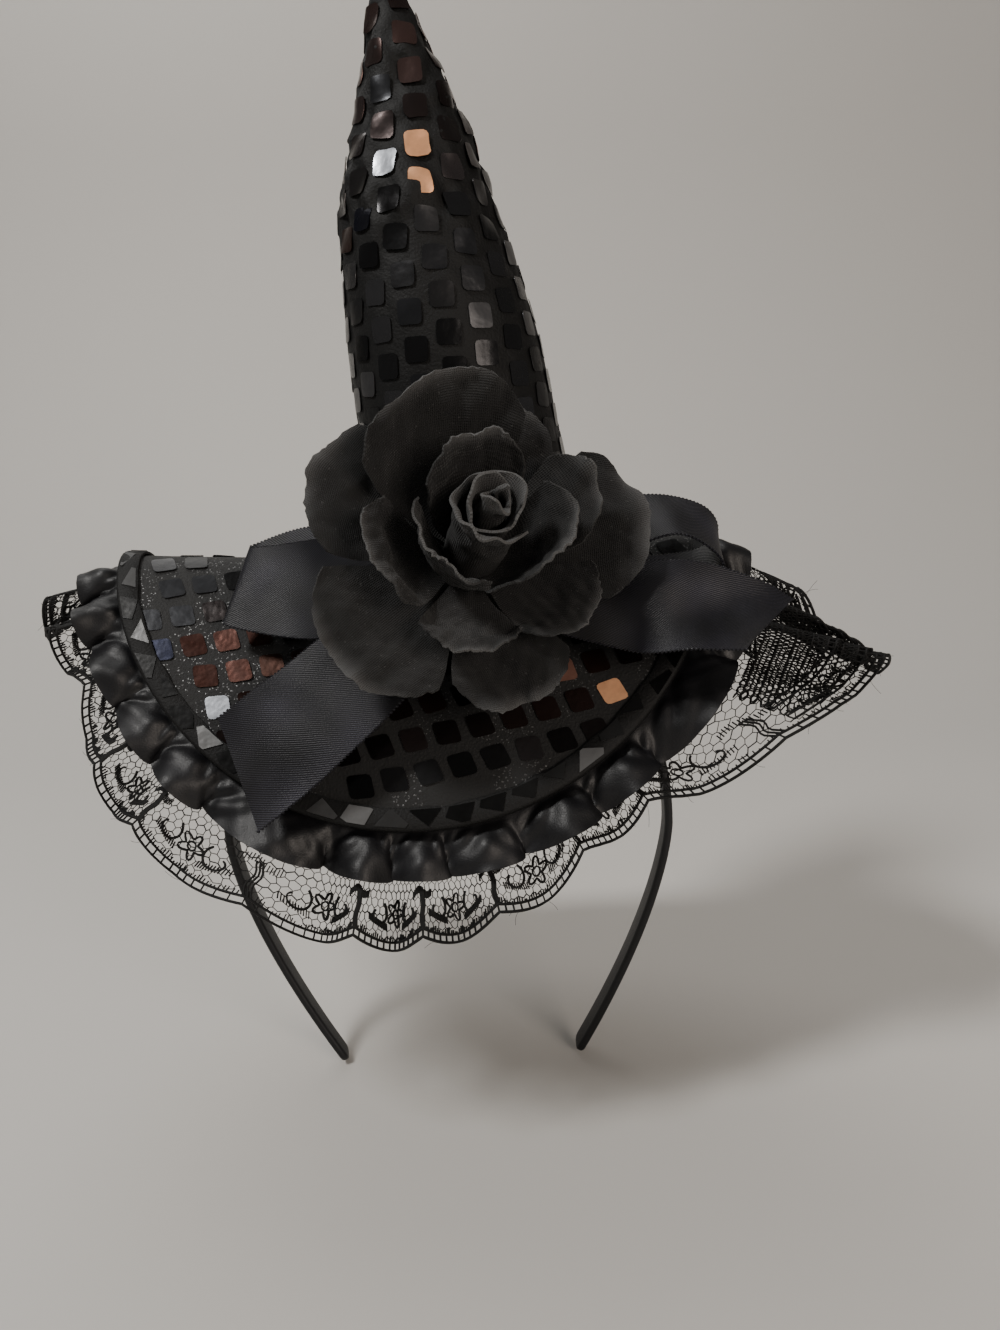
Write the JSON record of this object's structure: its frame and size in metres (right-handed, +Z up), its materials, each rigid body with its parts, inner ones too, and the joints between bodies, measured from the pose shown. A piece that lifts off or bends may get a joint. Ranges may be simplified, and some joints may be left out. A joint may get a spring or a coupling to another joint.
{
  "type": "witch hat headband",
  "caption": "Black headband with a small drooping sequinned witch hat, a satin and lace frill, a fabric rose and a ribbon bow.",
  "frame": {"origin": "inner apex of the headband, where it rests on top of the head", "axes": "+Z up along the hat, +X to the right seen from the front, -Y to the front"},
  "size_m": [0.2312, 0.1228, 0.2996],
  "materials": {
    "satin": "black satin, soft sheen",
    "sequin_cloth": "black knit with flat mirror sequins",
    "lace": "black net lace with corded edge",
    "ribbon": "black satin ribbon, diagonal fine weave",
    "rose_cloth": "matte black woven petals"
  },
  "bodies": {
    "root": {"headband": "satin", "brim": "sequin_cloth", "brim_binding": "sequin_cloth", "crown": "sequin_cloth", "satin_ruffle": "satin", "lace_trim": "lace", "bow_loop_left": "ribbon", "bow_loop_right": "ribbon", "bow_tail_left": "ribbon", "bow_tail_right": "ribbon", "rose_petal_back_right": "rose_cloth", "rose_petal_back_top": "rose_cloth", "rose_petal_back_top_left": "rose_cloth", "rose_petal_back_left": "rose_cloth", "rose_petal_back_bottom": "rose_cloth", "rose_petal_hood": "rose_cloth", "rose_petal_left": "rose_cloth", "rose_petal_lip": "rose_cloth", "rose_petal_low_right": "rose_cloth", "rose_petal_right": "rose_cloth", "rose_petal_inner_left": "rose_cloth", "rose_petal_inner_right": "rose_cloth", "rose_petal_inner_top": "rose_cloth", "rose_bud": "rose_cloth"}
  },
  "joints": []
}
